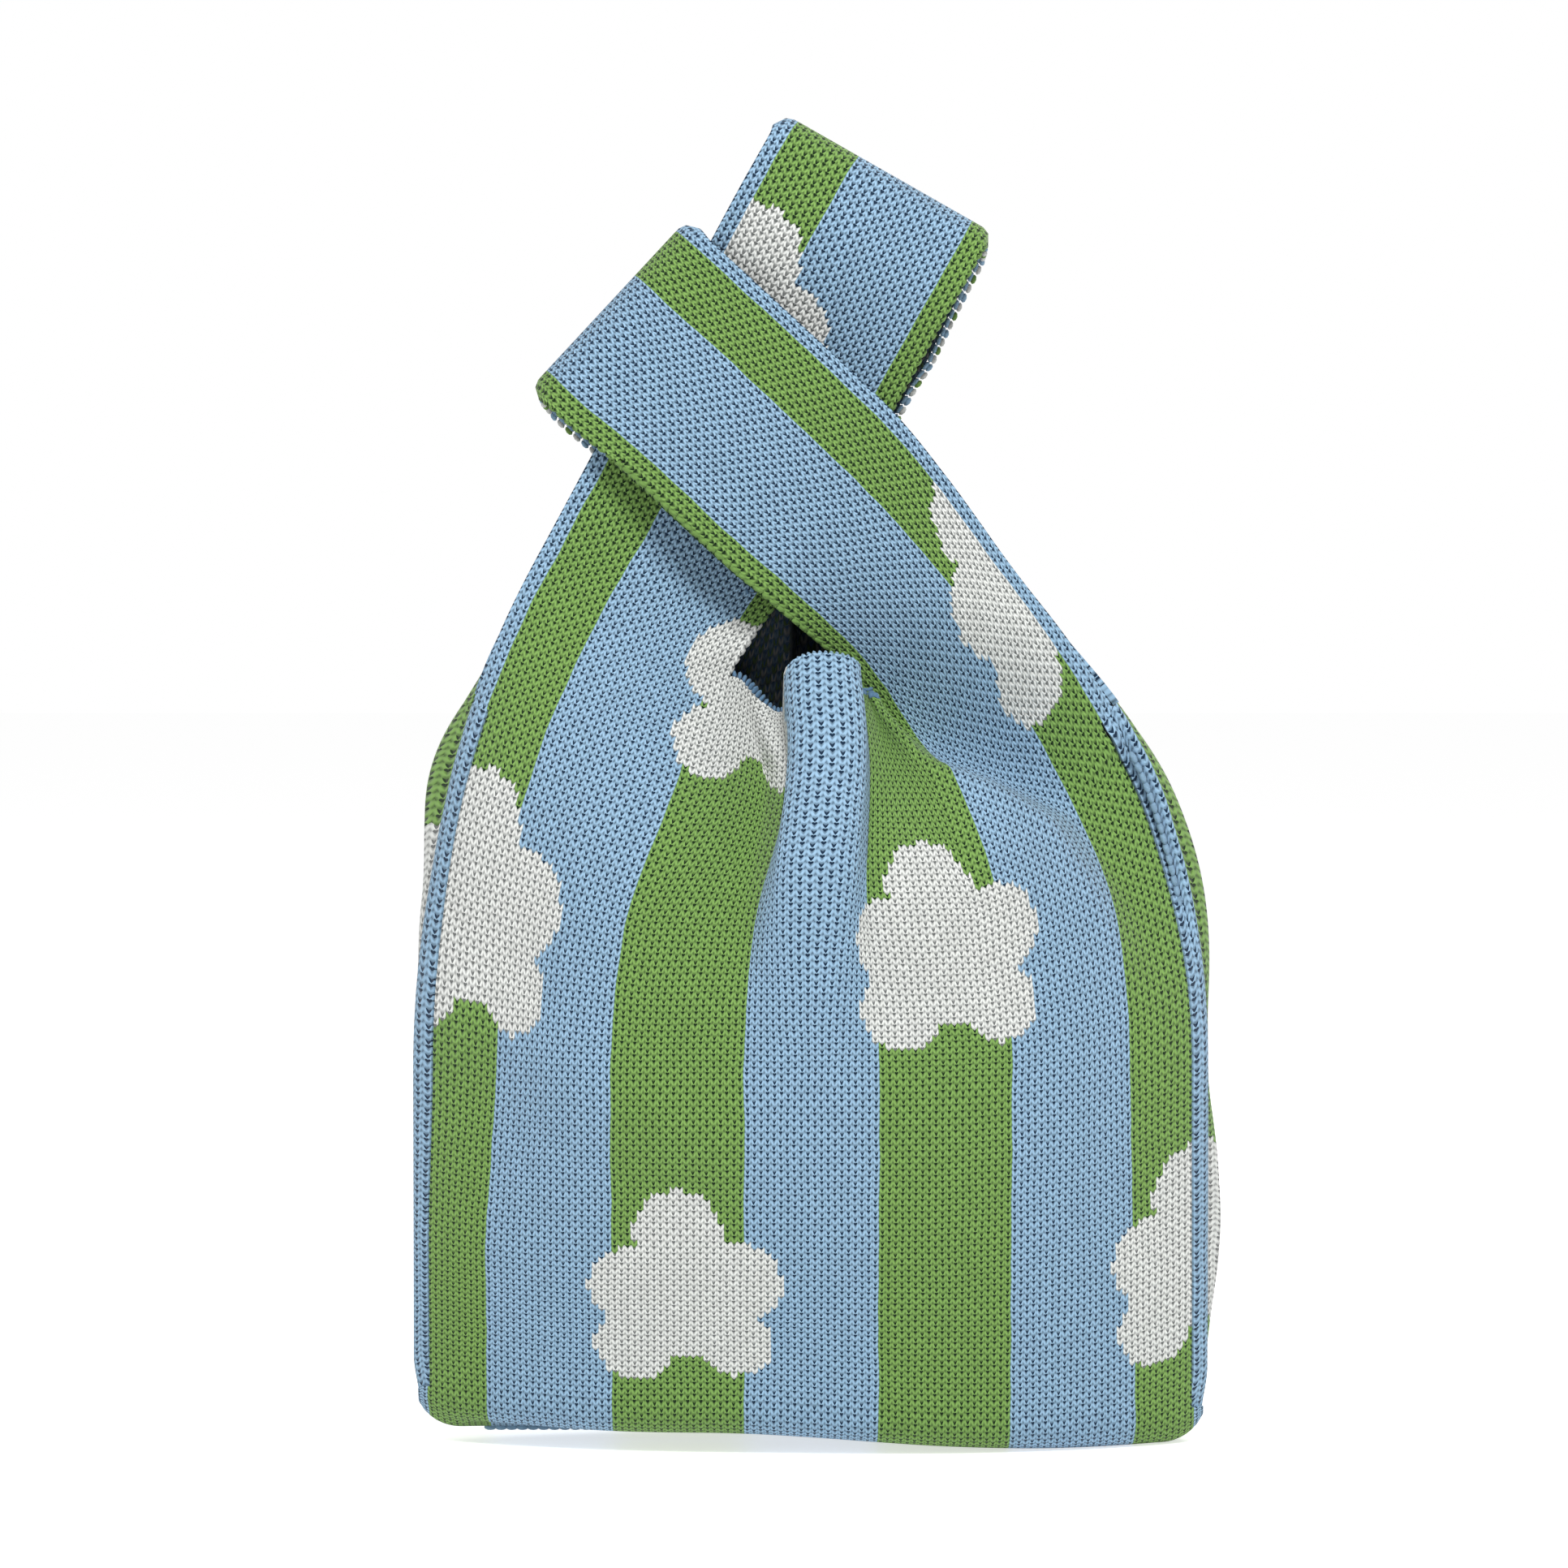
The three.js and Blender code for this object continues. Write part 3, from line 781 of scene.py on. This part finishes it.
def side_band(name, side):
    """A band round one side of the bag, by its turn from front to back and its height."""
    rows = round((SLIT - BAND_FOOT) / GRID)

    def flat(column, row):
        turn = (2 * column - 1) * BAND_ANGLE
        return turn, side * HALF_WIDTH * np.cos(turn), BAND_FOOT + (SLIT - BAND_FOOT) * row

    def place(column, row):
        turn, s, t = flat(column, row)
        neck = smooth(*NECK, t)
        whole = np.sin(np.pi / 2 * np.minimum(1, np.abs(turn) / BAND_ANGLE))
        depth = (1 - neck) * belly(t) * np.abs(np.sin(turn)) ** (2 * ROUNDNESS) + neck * layer(s, t) * whole
        plan = (long_strap if side < 0 else short_strap).place(s, t)
        plan[:, 0] -= side * BAND_TUCK * (1 - smooth(BAND_FOOT, 2 * BASE_TURN, t))
        return pulled(np.stack([plan[:, 0], np.sign(turn) * depth, plan[:, 1]], -1), s, t)

    def stitch(column, row):
        turn, s, t = flat(column, row)
        wales = BAND_START + BAND_SHIFT + BAND_WALES * (1 + turn / BAND_ANGLE)
        return np.stack([side * wales, courses(s, t)], -1)

    band = cloth_object(name, BAND_COLUMNS, rows, place, stitch, outward=side > 0)
    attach(band, "bag")
    return band


for side_name, side in (("left", -1), ("right", 1)):
    band = side_band(f"{side_name}_band_knit", side)
    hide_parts(f"{side_name}_side_band")

# Base
# The same knit turned from the front to the back under the bag, flat underneath with rounded ends.
BASE_CORNER = 0.012
BASE_EDGE = 0.0088
BASE_EDGE_SHARE = 0.8
BASE_TURN_LENGTH = 0.0138
BASE_END = HALF_WIDTH - 0.0012
BASE_ROWS = 44


def base_flat(column, row):
    """The place s across, and the turn: -2 at the front edge, 0 under the middle and 2 at the back edge."""
    return (2 * column - 1) * BASE_END, 4 * row - 2


def base_place(column, row):
    """Level from turn -1 to turn 1, and rounded up from there to the panels' lower edges."""
    s, turn = base_flat(column, row)
    past = np.maximum(0, np.abs(s) - (HALF_WIDTH - BASE_CORNER))
    floor = CLOTH / 2 + BASE_CORNER - np.sqrt(BASE_CORNER**2 - past**2)
    edge = half_depth(s, np.full_like(s, BASE_TURN))
    inset = np.minimum(BASE_EDGE, BASE_EDGE_SHARE * edge)
    angle = np.maximum(0, np.abs(turn) - 1) * math.pi / 2
    level = np.minimum(1, np.abs(turn)) * (edge - inset)
    height = floor + (BASE_TURN - floor) * (1 - np.cos(angle))
    points = np.stack([s, np.sign(turn) * (level + inset * np.sin(angle)), height], -1)
    return pulled(points, s, np.full_like(s, BASE_TURN))


def base_stitch(column, row):
    s, turn = base_flat(column, row)
    below = np.maximum(0, 2 - np.abs(turn)) * BASE_TURN_LENGTH
    return stitches(s, BASE_TURN - below)


base_columns = round(2 * BASE_END / GRID)
base = cloth_object("base_knit", base_columns, BASE_ROWS, base_place, base_stitch, outward=False)
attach(base, "bag")
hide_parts("base_panel")

# Seams inside the bag
# Linked chains of yarn along both side bands and across the base, where the knit is closed.
CHAIN_PITCH = 0.0029
CHAIN_LOOP = (0.0019, 0.0010, 0.0009)
CHAIN_SLANT = 0.3
SEAM_STEPS = 60
SIDE_SEAM = (0.014, 0.178)
SIDE_SEAM_INSET = 0.0028
BOTTOM_SEAM_HALF = 0.088
BOTTOM_SEAM_HEIGHT = 0.0037


def seam_chain(name, across, up, outwards, body, node):
    """A chain of yarn in the bag's plane at x and z, on a body, shown for its CAD node."""
    points = np.stack([across, np.zeros_like(across), up], -1)
    row = (points, np.tile(outwards, (len(points), 1)), CHAIN_PITCH, CHAIN_LOOP, CHAIN_SLANT, (0,))
    seam = yarn_chain(name, [row], [blue_yarn])
    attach(seam, body)
    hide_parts(node)


for side_name, side, strap in (("left", -1, long_strap), ("right", 1, short_strap)):
    heights = np.linspace(*SIDE_SEAM, SEAM_STEPS)
    flat = strap.place(np.full_like(heights, side * (HALF_WIDTH - SIDE_SEAM_INSET)), heights)
    inwards = (-side, 0.0, 0.0)
    seam_chain(f"{side_name}_seam_chain", flat[:, 0], flat[:, 1], inwards, "bag", f"{side_name}_side_seam")

across = np.linspace(-BOTTOM_SEAM_HALF, BOTTOM_SEAM_HALF, SEAM_STEPS)
upwards = (0.0, 0.0, 1.0)
seam_height = np.full_like(across, BOTTOM_SEAM_HEIGHT)
seam_chain("bottom_seam_chain", across, seam_height, upwards, "bag", "bottom_seam")

# Mouth edges
# The bound-off rims of the front and the back: a blue rib of stitches rolled over the edge of the knit.
# Painted shade: the rim's blue is darker than the knit's blue, for the shade between the rib's stitches
RIM_SHADED_BLUE = (0.130, 0.250, 0.400)
RIM_PITCH = 0.0015
RIM_LOOP = (0.00065, 0.0014, 0.0012)
RIM_SLANT = 0.25
RIM_STEPS = 60
RIM_END = STRAP_INNER - 0.001
RIM_BELOW = 0.0006
RIM_RISE = 0.0008
NOSE_TUCK = 0.0008
RIM_PARTS = [
    (-RIM_END, -NOSE_HALF, 0, 0),
    (-NOSE_HALF, NOSE_HALF, NOSE_TUCK, 1),
    (NOSE_HALF, RIM_END, 0, 0),
]


def cloth_line(s, t, face, step=0.0004):
    """Points of the knit at s, t with its outward normals and the direction up the cloth."""
    points = knit_place(s, t, face)
    sideways = knit_place(s + step, t, face) - knit_place(s - step, t, face)
    upwards = knit_place(s, t + step, face) - knit_place(s, t - step, face)
    normals = np.cross(sideways, upwards) * -face
    normals /= np.linalg.norm(normals, axis=1)[:, None]
    return points, normals, upwards / np.linalg.norm(upwards, axis=1)[:, None]


shaded_rim_yarn = yarn_material("rim yarn", RIM_SHADED_BLUE)
for side_name, face in (("front", -1), ("back", 1)):
    rows = []
    for low, high, tuck, yarn in RIM_PARTS:
        s = np.linspace(low, high, RIM_STEPS)
        points, normals, upwards = cloth_line(s, np.full_like(s, MOUTH - RIM_BELOW), face)
        points = points + upwards * (RIM_RISE - tuck) - normals * tuck
        rows.append((points, normals, RIM_PITCH, RIM_LOOP, RIM_SLANT, (yarn,)))
    rim = yarn_chain(f"{side_name}_mouth_rim", rows, [shaded_rim_yarn, blue_yarn])
    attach(rim, "bag")
    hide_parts(f"mouth_edge_{side_name}")

# Carry loop
# The long strap's folded top end, which is held in the hand: both layers meet in one rounded fold.
CARRY_LINE = 0.3372
CARRY_BEND_HALF = 0.0085
CARRY_FOLD_START = 0.3565
CARRY_EDGE_SHOWN = 0.0005
FOLD_CORNER = 0.0035
LOOP_SEAM_STEPS = 30
LOOP_SEAM_HALF = STRAP_WIDTH / 2 - 0.004
LOOP_SEAM_DROP = 0.0030


def folded_end(name, strap, start, fold_start, keep_of=None):
    """A strap's end from start on the front, round the fold, to start on the back. Also gives its place by
    column and row, and its length."""
    fold_length = strap.end - fold_start
    layer_rows = round((fold_start - start) / GRID)
    turn_rows = round(math.pi * fold_length / GRID)
    rows = 2 * layer_rows + turn_rows
    columns = round(STRAP_WIDTH / GRID)

    def flat(column, row):
        s = strap.side * STRAP_MIDDLE + (column - 0.5) * STRAP_WIDTH
        steps = np.abs(row - 0.5) * rows
        turn = np.minimum(1, steps / (turn_rows / 2)) * math.pi / 2
        past = np.maximum(0, steps - turn_rows / 2) * GRID
        share = np.sign(row - 0.5) * np.sin(turn)
        near_edge = np.maximum(0, np.abs(column - 0.5) * STRAP_WIDTH - STRAP_WIDTH / 2 + FOLD_CORNER)
        corner = FOLD_CORNER - np.sqrt(FOLD_CORNER**2 - near_edge**2)
        return s, fold_start + (fold_length - corner) * np.cos(turn) - past, share, steps * GRID

    def place(column, row):
        s, t, share, _ = flat(column, row)
        plan = strap.place(s, t)
        return pulled(np.stack([plan[:, 0], share * half_depth(s, t), plan[:, 1]], -1), s, t)

    def stitch(column, row):
        s, _, _, walked = flat(column, row)
        return stitches(s, start + rows * GRID / 2 - walked)

    def keep(column, row):
        s, t, _, _ = flat(column, row)
        return keep_of(s, t)

    cloth = cloth_object(name, columns, rows, place, stitch, keep if keep_of else None)
    return cloth, place, rows * GRID


def loop_edges(name, place, column, inward, low, high, shown):
    """The edge stitches of a folded end along one edge, front and back, between two rows of its cloth."""
    column_line = np.full(EDGE_STEPS, column)
    rows = []
    for first, last, face in ((low, 0.5, -1), (0.5, high, 1)):
        line = np.linspace(first, last, EDGE_STEPS)
        points = place(column_line, line)
        inside = place(column_line + inward * EDGE_INSIDE / STRAP_WIDTH, line)
        rows += edge_rows(points, inside, face, shown)
    edges = yarn_chain(name, rows, EDGE_YARNS)
    return edges


def fold_seam(name, strap, body, node):
    """The chain across the inside of a strap's fold."""
    reach = np.linspace(-LOOP_SEAM_HALF, LOOP_SEAM_HALF, LOOP_SEAM_STEPS)
    flat = strap.place(strap.side * STRAP_MIDDLE + reach, np.full_like(reach, strap.end - LOOP_SEAM_DROP))
    _, along, _ = strap.line(np.array([strap.end]))
    downwards = (-along[0, 0], 0.0, -along[0, 1])
    seam_chain(name, flat[:, 0], flat[:, 1], downwards, body, node)


carry, carry_place, carry_length = folded_end("carry_knit", long_strap, LONG_CUT, CARRY_FOLD_START)
carry_line, _, _ = long_strap.line(np.array([CARRY_LINE - CARRY_BEND_HALF, CARRY_LINE + CARRY_BEND_HALF]))
carry_edges = loop_edges("carry_loop_edges", carry_place, 1, -1, 0, 1, CARRY_EDGE_SHOWN)
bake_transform(carry)
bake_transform(carry_edges)
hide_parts("carry_loop")
fold_seam("carry_seam_chain", long_strap, "carrying_end", "carry_loop_seam")

# Short loop
# The short strap's upper part: it goes over the long strap, round its outer edge and back behind it.
SHORT_FOLD_START = 0.3445
SHORT_EDGE_SHOWN = 0.0003


def short_keep(s, t):
    """The part of the short strap above the panels."""
    return short_strap.place(s, t)[..., 1] > SHORT_CUT


short, short_place, short_length = folded_end("short_knit", short_strap, SLIT, SHORT_FOLD_START, short_keep)
short_rows = np.linspace(0, 0.5, FINE_STEPS)
short_line = short_place(np.zeros_like(short_rows), short_rows)
short_low = short_rows[short_line[:, 2] > SHORT_CUT].min()
short_edges = loop_edges("short_loop_edges", short_place, 0, 1, short_low, 1 - short_low, SHORT_EDGE_SHOWN)
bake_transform(short)
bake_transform(short_edges)
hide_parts("short_loop")
fold_seam("short_seam_chain", short_strap, "short_handle", "short_loop_seam")

# Studio
# White floor and surround, a soft key light from above in front, a weak one from behind,
# and the camera in front of the bag.
BACKDROP_RAYS = ("Is Camera Ray", "Is Glossy Ray", "Is Transmission Ray")
FLOOR_HALF = 20
FLOOR_LIGHT = (0.30, 0.30, 0.30, 1)
FLOOR_SHOWN = (0.64, 0.64, 0.64, 1)
SURROUND_LIGHT = 0.42
LIGHT_AIM = Vector((0, 0, 0.18))


def on_view(nodes):
    """1 for the rays that show the backdrop itself, 0 for those that light the bag."""
    rays = [nodes.node("ShaderNodeLightPath", {}, {}, output=kind) for kind in BACKDROP_RAYS]
    return (rays[0] + rays[1] + rays[2]).least(1)


floor_shape = bmesh.new()
bmesh.ops.create_grid(floor_shape, x_segments=1, y_segments=1, size=FLOOR_HALF)
floor_mesh = bpy.data.meshes.new("floor")
floor_shape.to_mesh(floor_mesh)
floor_shape.free()
floor = bpy.data.objects.new("floor", floor_mesh)
bpy.context.collection.objects.link(floor)
floor_material, floor_shader, floor_nodes = new_material("white floor", roughness=1.0)
floor_shader.inputs["Base Color"].default_value = (0.95, 0.95, 0.95, 1)
floor_shader.inputs["Specular IOR Level"].default_value = 0.0
glow = on_view(floor_nodes).mix(FLOOR_LIGHT, FLOOR_SHOWN)
floor_material.node_tree.links.new(glow.socket, floor_shader.inputs["Emission Color"])
floor_shader.inputs["Emission Strength"].default_value = 1.0
floor_mesh.materials.append(floor_material)

world = bpy.data.worlds.new("surround")
bpy.context.scene.world = world
world.use_nodes = True
backdrop = Value(world.node_tree)
surround = world.node_tree.nodes["Background"]
surround.inputs["Color"].default_value = (1, 1, 1, 1)
strength = SURROUND_LIGHT + (1 - SURROUND_LIGHT) * on_view(backdrop)
world.node_tree.links.new(strength.socket, surround.inputs["Strength"])


def soft_light(name, place, size, energy):
    """A round area light turned towards the bag."""
    data = bpy.data.lights.new(name, "AREA")
    data.shape = "DISK"
    data.size = size
    data.energy = energy
    light = bpy.data.objects.new(name, data)
    light.location = place
    light.rotation_euler = (LIGHT_AIM - light.location).to_track_quat("-Z", "Y").to_euler()
    bpy.context.collection.objects.link(light)


soft_light("key", (0.06, -0.92, 1.24), 0.45, 17.0)
soft_light("behind", (0.35, 1.05, 0.75), 0.6, 6.0)

CAMERA_AIM = Vector((-0.0072, 0, 0.1778))
CAMERA_DISTANCE = 1.175
CAMERA_ELEVATION = math.radians(1.5)
camera_data = bpy.data.cameras.new("camera")
camera_data.lens = 100
camera_data.sensor_width = 36
camera = bpy.data.objects.new("camera", camera_data)
away = Vector((0, -math.cos(CAMERA_ELEVATION), math.sin(CAMERA_ELEVATION)))
camera.location = CAMERA_AIM + away * CAMERA_DISTANCE
camera.rotation_euler = (CAMERA_AIM - camera.location).to_track_quat("-Z", "Y").to_euler()
bpy.context.collection.objects.link(camera)
bpy.context.scene.camera = camera
bpy.context.scene.view_settings.view_transform = "Standard"
